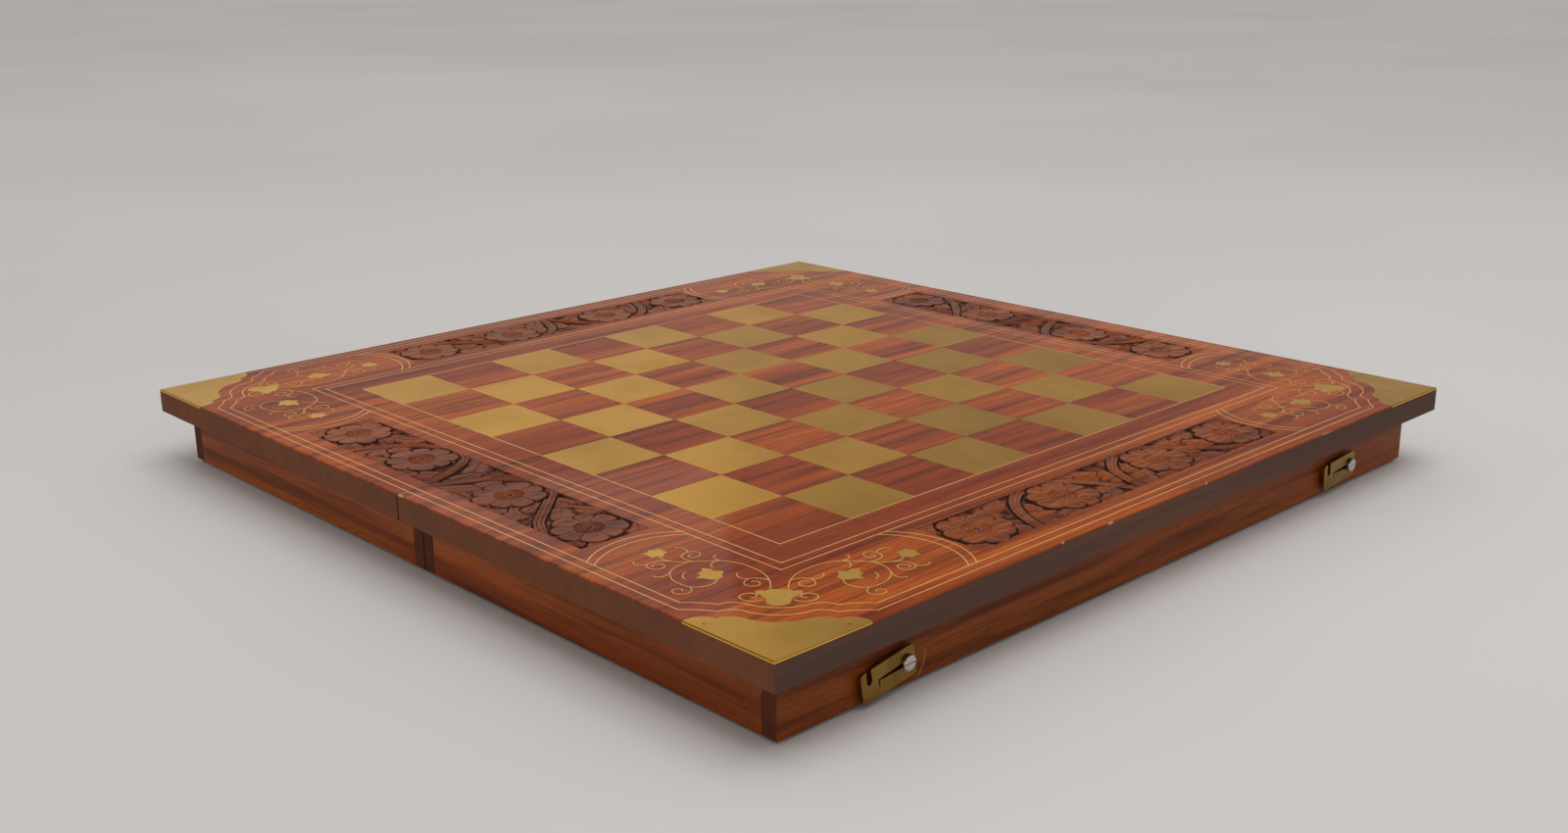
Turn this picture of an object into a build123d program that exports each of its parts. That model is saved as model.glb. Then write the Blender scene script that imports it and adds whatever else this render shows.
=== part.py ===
from build123d import *
import os
from math import cos, radians, sin

os.makedirs("parts", exist_ok=True)

# Folding chess box, lying open as a board.  Two shallow trays are hinged along a seam: their
# undersides are open, and their top boards together make the playing surface.
# Frame: origin on the resting plane under the middle of the board, X along the seam,
# Y across it, Z up.  The "box" half lies at +Y and carries the latch pegs.  The "lid" half
# lies at -Y and carries the latches.  All lengths are millimetres.

# ---- boards and walls ----
square_size = 50.8
squares_across = 8
board_length = 601.0
board_width = 605.0
top_thickness = 15.3
wall_height = 33.3
wall_thickness = 10.0
overhang = 14.5
seam_clearance = 0.3
edge_chamfer = 0.6

# ---- brass inlay, measured inwards from the board's edges ----
inlay_depth = 1.2
brass_square_inset = 0.2
string_width = 0.75
outer_string_inset = 7.0
outer_string_pitch = 5.9
inner_string_inset = 73.5
inner_string_pitch = 6.4
closing_arc_radius = 45.0
closing_arc_apex = 153.5
closing_arc_pitch = 6.0
outer_ogee_reach = 71.5
inner_ogee_reach = 77.0
string_ogee_tuck = 1.5
wire_width = 0.6
wire_height = 0.2

# ---- corner plates ----
plate_reach = 60.5
plate_pin_radius = 0.8
plate_pin_length = 9.0
plate_pin_near = 5.0
plate_pin_far = 51.2

# ---- carved panels ----
panel_length = 278.0
panel_width = 44.0
panel_thickness = 6.0
panel_inset = 43.5
panel_clearance = 0.1
carving_depth = 2.8
carving_rim = 0.8
inner_flower_place = 44.5
outer_flower_place = 116.3
petals = 8
petal_radius = 5.6
petal_ring_radius = 12.2
flower_eye_radius = 5.2
flower_eye_groove = 1.0
stem_width = 3.2
carved_leaf_length = 16.0
carved_leaf_width = 7.0

# ---- hinges ----
hinge_spacing = 380.0
hinge_length = 63.5
knuckles = 5
knuckle_radius = 1.9
knuckle_gap = 0.25
knuckle_clearance = 0.3
pin_radius = 0.9
pin_clearance = 0.05
leaf_thickness = 1.4
leaf_reach = 9.0
mortise_clearance = 0.1
leaf_screws = 3
leaf_screw_pitch = 22.0
leaf_screw_setback = 5.8
leaf_screw_head_radius = 2.1
leaf_screw_head_height = 1.1
leaf_screw_radius = 1.1
leaf_screw_length = 9.0
screw_slot_width = 0.6
screw_slot_depth = 0.5
screw_clearance = 0.05

# ---- latches ----
latch_spacing = 416.0
latch_offset = 3.5
latch_pivot_height = 13.5
latch_tip_reach = 31.5
latch_heel_reach = 5.2
latch_height = 16.4
latch_thickness = 1.6
latch_corner_radius = 2.4
latch_side_clearance = 0.15
latch_tilts = {"left": 9.0, "right": 4.0}
notch_reach = 26.0
notch_width = 3.6
notch_depth = 7.6
slit_start = 3.4
slit_end = 19.4
slit_mouth = 2.6
slit_width = 0.8
slit_drop = 3.4
washer_radius = 3.6
washer_thickness = 2.2
pivot_radius = 1.8
pivot_clearance = 0.05
pivot_screw_depth = 8.0
pivot_head_radius = 4.2
pivot_head_height = 1.9
pivot_head_dome = 0.9
peg_clearance = 0.3
peg_flange_radius = 3.2
peg_flange_thickness = 1.0
peg_head_radius = 2.7
peg_head_thickness = 1.0
peg_root_depth = 7.0

# ---- worked out from the above ----
axis_z = knuckle_radius
rim_z = axis_z + seam_clearance / 2
underside_z = rim_z + wall_height
top_z = underside_z + top_thickness
seam_face = seam_clearance / 2
field_size = square_size * squares_across
body_length = board_length - 2 * overhang
wall_face = board_width / 2 - overhang
string_insets = (outer_string_inset, outer_string_inset + outer_string_pitch)
inner_insets = (inner_string_inset, inner_string_inset + inner_string_pitch)
top_plane = Plane.XY.offset(top_z)
halves = {"box": 1, "lid": -1}
near_corner = Location((-board_length / 2, -board_width / 2))


def ogee_arcs(shift, line, reach):
    """Arcs of the corner's ogee, from one edge to the other.

    Points are measured inwards from the two edges of the corner.  shift moves the ogee along the
    corner's diagonal, line is where it leaves each edge's own line, and reach is how far out.
    """
    half = [
        ((line, reach), (shift + 8.2, shift + 59.0), (shift + 12.8, shift + 51.8)),
        ((shift + 12.8, shift + 51.8), (shift + 19.6, shift + 48.2), (shift + 22.5, shift + 41.0)),
    ]
    sweep = ((shift + 22.5, shift + 41.0), (shift + 29.5, shift + 29.5), (shift + 41.0, shift + 22.5))
    other_half = [across_diagonal(reversed(arc)) for arc in reversed(half)]
    return half + [sweep] + other_half


def across_diagonal(points):
    """Points of one half of a corner, mirrored to its other half."""
    return [(b, a) for a, b in points]


def at_both_corners(corner_drawing):
    """The lid half's left corner, which is as drawn, and its right corner, the mirror image."""
    left = near_corner * corner_drawing
    return left + mirror(left, about=Plane.YZ)


def half_of(sketch, half):
    """The sketch is drawn for the lid half; the box half is its mirror image across the seam."""
    return sketch if half == "lid" else mirror(sketch, about=Plane.XZ)


# ---- drawings of the inlay ----

# Corner plate: two straight board edges and the ogee.
with BuildSketch() as corner_plate_drawing:
    with BuildLine():
        Line((0, 0), (0, plate_reach))
        for start, middle, end in ogee_arcs(0, 0, plate_reach):
            ThreePointArc(start, middle, end)
        Line((plate_reach, 0), (0, 0))
    make_face()

# Strings of one corner: two follow the outer edges and turn round the corner plate, two go
# round the margin of the squares, and two pairs of arcs close the corner off.
with BuildSketch() as corner_strings_drawing:
    for inset, reach in zip(string_insets, (outer_ogee_reach, inner_ogee_reach)):
        with BuildLine():
            Line((inset, board_width / 2 - seam_face), (inset, reach))
            for start, middle, end in ogee_arcs(inset - string_ogee_tuck, inset, reach):
                ThreePointArc(start, middle, end)
            Line((reach, inset), (board_length / 2, inset))
        trace(line_width=string_width)
    for inset in inner_insets:
        with BuildLine():
            Polyline((inset, board_width / 2 - seam_face), (inset, inset), (board_length / 2, inset))
        trace(line_width=string_width)
    half_chord = (inner_insets[0] - string_insets[1]) / 2
    sagitta = closing_arc_radius - (closing_arc_radius**2 - half_chord**2) ** 0.5
    for k in range(2):
        apex = closing_arc_apex + k * closing_arc_pitch
        arc_points = [
            (string_insets[1], apex - sagitta),
            (string_insets[1] + half_chord, apex),
            (inner_insets[0], apex - sagitta),
        ]
        for points in (arc_points, across_diagonal(arc_points)):
            with BuildLine():
                ThreePointArc(*points)
            trace(line_width=string_width)

# One more string runs right against the squares.
field_string = field_size / 2 + string_width / 2
with BuildSketch() as field_string_drawing:
    with BuildLine():
        Polyline(
            (-field_string, -seam_face),
            (-field_string, -field_string),
            (field_string, -field_string),
            (field_string, -seam_face),
        )
    trace(line_width=string_width)

# Vine wires of half a corner, measured inwards from the corner's two edges: x from the side
# edge, y along it.  The other half is the mirror image across the diagonal.
vine_wires = {
    "main stem": [(53.5, 59.6), (59.0, 65.5), (63.7, 74.0), (65.4, 82.5), (64.9, 92.6), (61.1, 101.9),
                  (48.8, 112.1), (43.8, 117.2), (41.6, 122.3), (42.5, 127.8)],
    "loop round the leaf": [(48.8, 112.1), (42.9, 112.5), (36.1, 110.4), (30.6, 105.3), (27.7, 99.4),
                            (27.2, 92.6), (28.9, 86.7), (32.8, 83.7), (37.0, 82.9), (41.2, 84.2), (44.6, 87.2)],
    "curl under the loop": [(28.1, 88.4), (26.8, 85.0), (23.4, 82.6), (19.2, 84.2), (17.9, 87.5), (19.6, 90.5),
                            (22.6, 90.1), (23.4, 87.5), (22.0, 86.6)],
    "hook on the loop": [(33.6, 109.1), (30.2, 107.0), (26.4, 107.0), (24.3, 109.6), (24.7, 110.8)],
    "comma in the loop": [(32.8, 96.9), (34.4, 100.7), (39.1, 103.2)],
    "upper outer hook": [(29.4, 131.6), (27.8, 128.2), (29.8, 124.8), (34.4, 124.4), (38.7, 123.5), (42.1, 119.3)],
    "upper outer curl": [(31.9, 124.2), (29.4, 120.6), (30.6, 116.3), (34.0, 115.1), (37.2, 117.6),
                         (35.7, 121.0), (32.6, 121.2), (31.9, 119.7)],
    "upper inner curl": [(50.1, 111.5), (49.3, 116.8), (51.0, 121.0), (54.8, 122.7), (59.0, 121.4), (60.3, 118.0),
                         (57.3, 115.1), (53.9, 115.1), (52.7, 117.6), (54.3, 118.9), (56.0, 118.0)],
    "upper inner hook": [(56.5, 122.6), (58.3, 127.3), (57.3, 131.1), (55.6, 131.6)],
    "inner tendril": [(61.1, 101.9), (60.7, 107.0), (62.4, 109.6), (64.5, 109.6)],
    "outer tendril": [(60.0, 102.9), (55.6, 103.2), (53.1, 101.1), (52.2, 99.0)],
    "lower curl": [(58.2, 64.6), (60.3, 68.9), (59.0, 72.3), (55.6, 75.3), (51.4, 74.8), (48.4, 71.5), (49.3, 68.1),
                   (52.2, 66.5), (54.9, 68.1), (55.2, 71.0), (53.1, 72.3)],
    "lower hook": [(55.6, 75.3), (52.9, 78.2), (53.1, 82.0), (56.0, 85.0)],
    "curl on the vase": [(42.4, 52.3), (36.6, 55.4), (35.3, 59.6), (37.0, 63.0), (40.4, 63.8), (43.8, 61.3),
                         (43.8, 58.3), (41.2, 57.1), (40.0, 58.6)],
}

# Leaves and the vase, cut from thin brass, in the same corner measures.
middle_leaf = [(48.0, 102.4), (50.4, 97.9), (49.5, 95.2), (53.1, 91.8), (49.5, 89.0), (47.8, 86.4), (44.6, 85.8),
               (41.8, 87.5), (40.4, 90.8), (37.3, 94.4), (41.6, 95.4), (42.0, 98.6), (45.4, 99.0)]
top_leaf = [(44.6, 139.0), (46.8, 137.2), (50.2, 136.8), (49.2, 133.4), (50.0, 130.2), (47.0, 129.6), (44.4, 126.8),
            (42.4, 129.4), (39.4, 130.2), (40.0, 133.6), (39.6, 137.0), (42.6, 136.8)]
vase_half = [(42.6, 42.6), (41.0, 45.0), (40.6, 47.6), (41.9, 50.2), (44.2, 52.6), (45.4, 56.4), (45.2, 60.6),
             (47.1, 62.8), (49.4, 61.6), (50.4, 59.6), (53.4, 59.6), (56.4, 56.4)]

with BuildSketch() as corner_leaves_drawing:
    for points in (middle_leaf, top_leaf):
        Polygon(*points, align=None)
        Polygon(*across_diagonal(points), align=None)
    Polygon(*vase_half, *across_diagonal(vase_half[1:-1])[::-1], align=None)

# The wires stop where they reach a leaf or the vase.
with BuildSketch() as corner_vine_drawing:
    for points in vine_wires.values():
        for wire_points in (points, across_diagonal(points)):
            with BuildLine():
                Spline(*wire_points)
            trace(line_width=wire_width)
    add(corner_leaves_drawing.sketch, mode=Mode.SUBTRACT)

plates_drawing = at_both_corners(corner_plate_drawing.sketch)
strings_drawing = at_both_corners(corner_strings_drawing.sketch) + field_string_drawing.sketch
leaves_drawing = at_both_corners(corner_leaves_drawing.sketch)
vine_drawing = at_both_corners(corner_vine_drawing.sketch)

# One carved panel, lying along X about its own middle, with +Y towards the board's middle:
# four flowers, and two stems that wave over and under them.
flower_places = [
    (-outer_flower_place, 0),
    (-inner_flower_place, 0),
    (inner_flower_place, 0),
    (outer_flower_place, 0),
]
stem_paths = [
    [(-90.6, -20.0), (-82.2, -1.5), (-67.3, 15.0), (-48.3, 19.5), (-27.1, 14.4), (-14.4, 0.6), (-4.9, -16.3)],
    [(0.4, -20.0), (6.8, -1.5), (17.3, 12.3), (34.3, 19.5), (53.3, 19.0), (67.1, 10.2), (80.8, -3.6),
     (93.5, -15.2), (110.5, -19.0), (131.6, -15.2)],
]
# Middle and direction, in degrees, of each leaf beside the stems.
carved_leaves = [(-96, 12, 40), (-95, -9, -55), (-71, -15, -20), (-22, -15, 25), (-8, 13, -50),
                 (15, -11, 50), (65, -14, -30), (81, 14, 25), (92, 3, -40), (-134, 16, 30), (134, 17, -30)]

with BuildSketch() as relief_drawing:
    with Locations(*flower_places):
        Circle(petal_ring_radius)
        with PolarLocations(petal_ring_radius, petals):
            Circle(petal_radius)
    for points in stem_paths:
        with BuildLine():
            Spline(*points)
        trace(line_width=stem_width)
    with Locations(*[Location((x, y), angle) for x, y, angle in carved_leaves]):
        Ellipse(carved_leaf_length / 2, carved_leaf_width / 2)
    Rectangle(panel_length - 2 * carving_rim, panel_width - 2 * carving_rim, mode=Mode.INTERSECT)

with BuildSketch() as eyes_drawing:
    with Locations(*flower_places):
        Circle(flower_eye_radius)
        Circle(flower_eye_radius - flower_eye_groove, mode=Mode.SUBTRACT)

panel_sides = ("outer", "left", "right")


def panel_place(half, side_name):
    """Where a panel lies: each one is the same carving, turned to face the board's middle."""
    if side_name == "outer":
        return Location((0, halves[half] * (board_width / 2 - panel_inset)), 180 if half == "box" else 0)
    sx = -1 if side_name == "left" else 1
    return Location((sx * (board_length / 2 - panel_inset), 0), 90 * sx)


def panel_area(half, side_name, clearance):
    """Outline of the half's share of a panel, grown by the clearance but cut at the seam."""
    with BuildSketch() as area:
        with Locations(panel_place(half, side_name)):
            Rectangle(panel_length + 2 * clearance, panel_width + 2 * clearance)
        if side_name != "outer":
            with Locations((0, halves[half] * (board_width / 2 + seam_face - clearance))):
                Rectangle(board_length, board_width, mode=Mode.INTERSECT)
    return area.sketch


def square_centres(half):
    """Middles of the half's brass squares: they alternate, and the lid's near left one is wood."""
    centres = []
    for column in range(squares_across):
        for row in range(squares_across):
            is_lid = row < squares_across // 2
            if (column + row) % 2 == 1 and is_lid == (half == "lid"):
                x = (column - squares_across / 2 + 0.5) * square_size
                y = (row - squares_across / 2 + 0.5) * square_size
                centres.append((x, y))
    return centres


def add_top_blank(half):
    """Solid board of one half, with its three outer top edges eased."""
    with Locations((0, halves[half] * (seam_face + board_width / 2) / 2, underside_z)):
        blank = Box(
            board_length,
            board_width / 2 - seam_face,
            top_thickness,
            align=(Align.CENTER, Align.CENTER, Align.MIN),
        )
    top_edges = blank.edges().group_by(Axis.Z)[-1]
    seam_edge = top_edges.sort_by(Axis.Y)[0 if half == "box" else -1]
    chamfer(ShapeList([edge for edge in top_edges if edge != seam_edge]), edge_chamfer)


def write_piece(builder, name):
    builder.part.label = name
    export_step(builder.part, f"parts/{name}.step")


# ---- hinge places ----
hinge_places = {"left": -hinge_spacing / 2, "right": hinge_spacing / 2}
knuckle_length = (hinge_length - (knuckles - 1) * knuckle_gap) / knuckles
leaf_start = knuckle_radius + knuckle_clearance


def knuckle_middles(half):
    """Knuckle middles along a hinge: the box leaf has the first and every second one."""
    first = 0 if half == "box" else 1
    pitch = knuckle_length + knuckle_gap
    return [(k - (knuckles - 1) / 2) * pitch for k in range(first, knuckles, 2)]


def leaf_screw_places(half):
    return [
        (x + (k - (leaf_screws - 1) / 2) * leaf_screw_pitch, halves[half] * leaf_screw_setback, rim_z)
        for x in hinge_places.values()
        for k in range(leaf_screws)
    ]


def add_leaf_screws(half, clearance, mode=Mode.ADD):
    """Countersunk screws seen from below, or the holes they go into."""
    with Locations(*leaf_screw_places(half)):
        Cone(
            leaf_screw_head_radius + clearance,
            leaf_screw_radius + clearance,
            leaf_screw_head_height,
            align=(Align.CENTER, Align.CENTER, Align.MIN),
            mode=mode,
        )
        Cylinder(
            leaf_screw_radius + clearance,
            leaf_screw_length + clearance,
            align=(Align.CENTER, Align.CENTER, Align.MIN),
            mode=mode,
        )


# ---- latch places ----
latch_places = {
    "left": (latch_offset - latch_spacing / 2, rim_z + latch_pivot_height),
    "right": (latch_offset + latch_spacing / 2, rim_z + latch_pivot_height),
}
plate_back = wall_face + washer_thickness + latch_side_clearance
plate_front = plate_back + latch_thickness
head_back = plate_front + latch_side_clearance
notch_rise = latch_height / 2 - notch_depth + notch_width / 2
peg_radius = notch_width / 2 - peg_clearance


def lid_wall_plane(place, distance, tilt=0):
    """Plane at a latch pivot, this far out from the seam on the lid side, facing outwards."""
    x, z = latch_places[place]
    along = (cos(radians(tilt)), 0, sin(radians(tilt)))
    return Plane(origin=(x, -distance, z), x_dir=along, z_dir=(0, -1, 0))


def peg_plane(place, distance):
    """Plane where a shut latch's notch meets the box wall, facing outwards."""
    x, z = latch_places[place]
    shut_pivot_z = 2 * axis_z - z
    return Plane(origin=(x - notch_rise, distance, shut_pivot_z + notch_reach), x_dir=(-1, 0, 0), z_dir=(0, 1, 0))


# ======== the two halves ========
for half, side in halves.items():
    plates = half_of(plates_drawing, half)
    strings = half_of(strings_drawing, half)
    vine = half_of(vine_drawing, half)
    leaves = half_of(leaves_drawing, half)
    pin_spots = [
        (sx * (board_length / 2 - a), side * (board_width / 2 - b), top_z)
        for sx in (-1, 1)
        for a, b in ((plate_pin_near, plate_pin_far), (plate_pin_far, plate_pin_near))
    ]

    # Top board, with a pocket for everything that is let into it.
    with BuildPart() as top_board:
        add_top_blank(half)
        with BuildSketch(top_plane):
            with Locations(*square_centres(half)):
                Rectangle(square_size - 2 * brass_square_inset, square_size - 2 * brass_square_inset)
        extrude(amount=-inlay_depth, mode=Mode.SUBTRACT)
        for inlay in (plates, strings, leaves):
            with BuildSketch(top_plane):
                add(inlay)
            extrude(amount=-inlay_depth, mode=Mode.SUBTRACT)
        for side_name in panel_sides:
            with BuildSketch(top_plane):
                add(panel_area(half, side_name, panel_clearance))
            extrude(amount=-panel_thickness, mode=Mode.SUBTRACT)
        with Locations(*pin_spots):
            Cylinder(
                plate_pin_radius,
                plate_pin_length,
                align=(Align.CENTER, Align.CENTER, Align.MAX),
                mode=Mode.SUBTRACT,
            )
    write_piece(top_board, f"{half}_top_board")

    # Outer wall: full length, with holes for the latch screws or the latch pegs.
    with BuildPart() as outer_wall:
        with Locations((0, side * (wall_face - wall_thickness / 2), rim_z)):
            Box(body_length, wall_thickness, wall_height, align=(Align.CENTER, Align.CENTER, Align.MIN))
        for place in latch_places:
            if half == "lid":
                with BuildSketch(lid_wall_plane(place, wall_face)):
                    Circle(pivot_radius)
                extrude(amount=-pivot_screw_depth, mode=Mode.SUBTRACT)
            else:
                with BuildSketch(peg_plane(place, wall_face)):
                    Circle(peg_radius)
                extrude(amount=-peg_root_depth, mode=Mode.SUBTRACT)
    write_piece(outer_wall, f"{half}_outer_wall")

    # Seam wall: full length, let in for the hinge leaves and relieved for the knuckles.
    with BuildPart() as seam_wall:
        with Locations((0, side * (seam_face + wall_thickness / 2), rim_z)):
            Box(body_length, wall_thickness, wall_height, align=(Align.CENTER, Align.CENTER, Align.MIN))
        for x in hinge_places.values():
            with Locations((x, side * (leaf_reach + mortise_clearance) / 2, rim_z)):
                Box(
                    hinge_length + 2 * mortise_clearance,
                    leaf_reach + mortise_clearance,
                    leaf_thickness,
                    align=(Align.CENTER, Align.CENTER, Align.MIN),
                    mode=Mode.SUBTRACT,
                )
            with Locations((x, 0, axis_z)):
                Cylinder(
                    knuckle_radius + knuckle_clearance,
                    hinge_length + 2 * mortise_clearance,
                    rotation=(0, 90, 0),
                    mode=Mode.SUBTRACT,
                )
        add_leaf_screws(half, screw_clearance, Mode.SUBTRACT)
    write_piece(seam_wall, f"{half}_seam_wall")

    # Side walls fit between the outer wall and the seam wall.
    side_wall_start = seam_face + wall_thickness
    side_wall_end = wall_face - wall_thickness
    for wall_name, sx in (("left", -1), ("right", 1)):
        with BuildPart() as side_wall:
            wall_middle = (sx * (body_length - wall_thickness) / 2, side * (side_wall_start + side_wall_end) / 2)
            with Locations((*wall_middle, rim_z)):
                Box(
                    wall_thickness,
                    side_wall_end - side_wall_start,
                    wall_height,
                    align=(Align.CENTER, Align.CENTER, Align.MIN),
                )
        write_piece(side_wall, f"{half}_{wall_name}_wall")

    # Brass squares, flush with the board.
    with BuildPart() as brass_squares:
        with BuildSketch(top_plane):
            with Locations(*square_centres(half)):
                Rectangle(square_size - 2 * brass_square_inset, square_size - 2 * brass_square_inset)
        extrude(amount=-inlay_depth)
    write_piece(brass_squares, f"{half}_brass_squares")

    # Brass strings, leaves and vase are flush.  The vine's wires stand a little proud.
    with BuildPart() as brass_strings:
        with BuildSketch(top_plane):
            add(strings)
        extrude(amount=-inlay_depth)
    write_piece(brass_strings, f"{half}_brass_strings")

    with BuildPart() as vine_inlay:
        with BuildSketch(top_plane):
            add(vine)
        extrude(amount=wire_height)
    write_piece(vine_inlay, f"{half}_vine_wires")

    with BuildPart() as leaf_inlay:
        with BuildSketch(top_plane):
            add(leaves)
        extrude(amount=-inlay_depth)
    write_piece(leaf_inlay, f"{half}_vine_leaves")

    # Corner plates share the board's eased edges, and are drilled for their pins.
    with BuildPart() as corner_plates:
        add_top_blank(half)
        with BuildSketch(top_plane):
            add(plates)
        extrude(amount=-inlay_depth, mode=Mode.INTERSECT)
        with Locations(*pin_spots):
            Cylinder(
                plate_pin_radius,
                plate_pin_length,
                align=(Align.CENTER, Align.CENTER, Align.MAX),
                mode=Mode.SUBTRACT,
            )
    write_piece(corner_plates, f"{half}_corner_plates")

    with BuildPart() as corner_pins:
        with Locations(*pin_spots):
            Cylinder(plate_pin_radius, plate_pin_length, align=(Align.CENTER, Align.CENTER, Align.MAX))
    write_piece(corner_pins, f"{half}_corner_pins")

    # Carved panels: a sunk ground with the flowers left standing, level with the board.
    for side_name in panel_sides:
        area = panel_area(half, side_name, 0)
        relief = panel_place(half, side_name) * relief_drawing.sketch
        eyes = panel_place(half, side_name) * eyes_drawing.sketch
        with BuildPart() as carved_panel:
            with BuildSketch(top_plane.offset(-panel_thickness)):
                add(area)
            extrude(amount=panel_thickness - carving_depth)
            with BuildSketch(top_plane.offset(-carving_depth)):
                add(relief)
                add(area, mode=Mode.INTERSECT)
            extrude(amount=carving_depth)
            with BuildSketch(top_plane):
                add(eyes)
                add(area, mode=Mode.INTERSECT)
            extrude(amount=-flower_eye_groove, mode=Mode.SUBTRACT)
        write_piece(carved_panel, f"{half}_carved_panel_{side_name}")

    # Hinge leaves: flush in the rim, each with its own knuckles round the pin.
    for place, x in hinge_places.items():
        with BuildPart() as hinge_leaf:
            with Locations((x, side * (leaf_start + leaf_reach) / 2, rim_z)):
                Box(hinge_length, leaf_reach - leaf_start, leaf_thickness, align=(Align.CENTER, Align.CENTER, Align.MIN))
            for middle in knuckle_middles(half):
                with Locations((x + middle, side * leaf_start / 2, rim_z)):
                    Box(knuckle_length, leaf_start, leaf_thickness, align=(Align.CENTER, Align.CENTER, Align.MIN))
                with Locations((x + middle, 0, axis_z)):
                    Cylinder(knuckle_radius, knuckle_length, rotation=(0, 90, 0))
            with Locations((x, 0, axis_z)):
                Cylinder(pin_radius + pin_clearance, hinge_length, rotation=(0, 90, 0), mode=Mode.SUBTRACT)
            add_leaf_screws(half, screw_clearance, Mode.SUBTRACT)
        write_piece(hinge_leaf, f"{place}_hinge_{half}_leaf")

    with BuildPart() as hinge_screws:
        add_leaf_screws(half, 0)
        with Locations(*leaf_screw_places(half)):
            Box(
                2 * leaf_screw_head_radius,
                screw_slot_width,
                screw_slot_depth,
                align=(Align.CENTER, Align.CENTER, Align.MIN),
                mode=Mode.SUBTRACT,
            )
    write_piece(hinge_screws, f"{half}_hinge_screws")

for place, x in hinge_places.items():
    with BuildPart() as hinge_pin:
        with Locations((x, 0, axis_z)):
            Cylinder(pin_radius, hinge_length, rotation=(0, 90, 0))
    write_piece(hinge_pin, f"{place}_hinge_pin")

# ======== latches, on the lid's outer wall ========
for place, tilt in latch_tilts.items():
    # The plate points back along the wall, its tip a little low, with its notch upwards.
    with BuildPart() as latch_plate:
        with BuildSketch(lid_wall_plane(place, plate_back, tilt)):
            with Locations(((latch_heel_reach - latch_tip_reach) / 2, 0)):
                RectangleRounded(latch_tip_reach + latch_heel_reach, latch_height, latch_corner_radius)
            with Locations((-notch_reach, notch_rise)):
                Circle(notch_width / 2, mode=Mode.SUBTRACT)
            with Locations((-notch_reach, notch_rise)):
                Rectangle(
                    notch_width,
                    latch_height,
                    align=(Align.CENTER, Align.MIN),
                    mode=Mode.SUBTRACT,
                )
            Circle(pivot_radius + pivot_clearance, mode=Mode.SUBTRACT)
            Polygon(
                (-slit_start, slit_mouth / 2),
                (-slit_end, slit_width),
                (-slit_end - slit_width, slit_width),
                (-slit_end - slit_width, -slit_drop),
                (-slit_end, -slit_drop),
                (-slit_end, 0),
                (-slit_start, -slit_mouth / 2),
                align=None,
                mode=Mode.SUBTRACT,
            )
        extrude(amount=latch_thickness)
    write_piece(latch_plate, f"{place}_latch_plate")

with BuildPart() as latch_washers:
    for place in latch_places:
        with BuildSketch(lid_wall_plane(place, wall_face)):
            Circle(washer_radius)
            Circle(pivot_radius, mode=Mode.SUBTRACT)
        extrude(amount=washer_thickness)
write_piece(latch_washers, "latch_washers")

with BuildPart() as latch_screws:
    for place in latch_places:
        with BuildSketch(lid_wall_plane(place, wall_face - pivot_screw_depth)):
            Circle(pivot_radius)
        extrude(amount=head_back - wall_face + pivot_screw_depth)
        with BuildSketch(lid_wall_plane(place, head_back)):
            Circle(pivot_head_radius)
        extrude(amount=pivot_head_height)
        head_rim = latch_screws.edges().filter_by(GeomType.CIRCLE).sort_by(Axis.Y)[0]
        fillet(head_rim, pivot_head_dome)
        with BuildSketch(lid_wall_plane(place, head_back + pivot_head_height)):
            Rectangle(2 * pivot_head_radius, screw_slot_width)
        extrude(amount=-screw_slot_depth, mode=Mode.SUBTRACT)
write_piece(latch_screws, "latch_screws")

# Pegs on the box's outer wall: the shut latch's notch hooks over the shank.
with BuildPart() as latch_pegs:
    for place in latch_places:
        with BuildSketch(peg_plane(place, wall_face - peg_root_depth)):
            Circle(peg_radius)
        extrude(amount=head_back + peg_head_thickness - wall_face + peg_root_depth)
        with BuildSketch(peg_plane(place, wall_face)):
            Circle(peg_flange_radius)
        extrude(amount=peg_flange_thickness)
        with BuildSketch(peg_plane(place, head_back)):
            Circle(peg_head_radius)
        extrude(amount=peg_head_thickness)
write_piece(latch_pegs, "latch_pegs")
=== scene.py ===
import bpy
import math
import numpy as np
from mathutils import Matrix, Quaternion, Vector


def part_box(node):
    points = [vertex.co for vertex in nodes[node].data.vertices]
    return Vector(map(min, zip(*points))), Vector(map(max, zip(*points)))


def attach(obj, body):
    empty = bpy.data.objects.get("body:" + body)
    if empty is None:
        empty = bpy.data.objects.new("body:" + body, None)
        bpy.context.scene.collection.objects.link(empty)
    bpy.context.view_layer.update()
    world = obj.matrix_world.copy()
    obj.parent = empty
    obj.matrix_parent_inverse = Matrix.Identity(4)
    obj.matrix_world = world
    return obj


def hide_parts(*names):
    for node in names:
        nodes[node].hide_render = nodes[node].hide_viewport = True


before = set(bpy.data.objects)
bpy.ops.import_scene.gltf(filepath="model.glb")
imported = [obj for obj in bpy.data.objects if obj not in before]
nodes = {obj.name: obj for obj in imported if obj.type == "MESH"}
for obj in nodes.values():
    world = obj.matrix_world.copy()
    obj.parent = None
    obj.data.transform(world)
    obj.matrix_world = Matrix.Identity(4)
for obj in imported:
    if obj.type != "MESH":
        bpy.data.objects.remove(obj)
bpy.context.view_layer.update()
scene = bpy.context.scene
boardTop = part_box("lid_top_board")[1][2]
print("frame loaded:", len(nodes), "nodes")


# Helpers for node trees.

def addNode(tree, kind, **settings):
    node = tree.nodes.new(kind)
    for name, value in settings.items():
        setattr(node, name, value)
    return node


def feed(tree, socket, value):
    if isinstance(value, bpy.types.NodeSocket):
        tree.links.new(value, socket)
    else:
        socket.default_value = value


def maths(tree, operation, a, b=0.0, clamp=False):
    node = addNode(tree, "ShaderNodeMath", operation=operation, use_clamp=clamp)
    feed(tree, node.inputs[0], a)
    feed(tree, node.inputs[1], b)
    return node.outputs[0]


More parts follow.
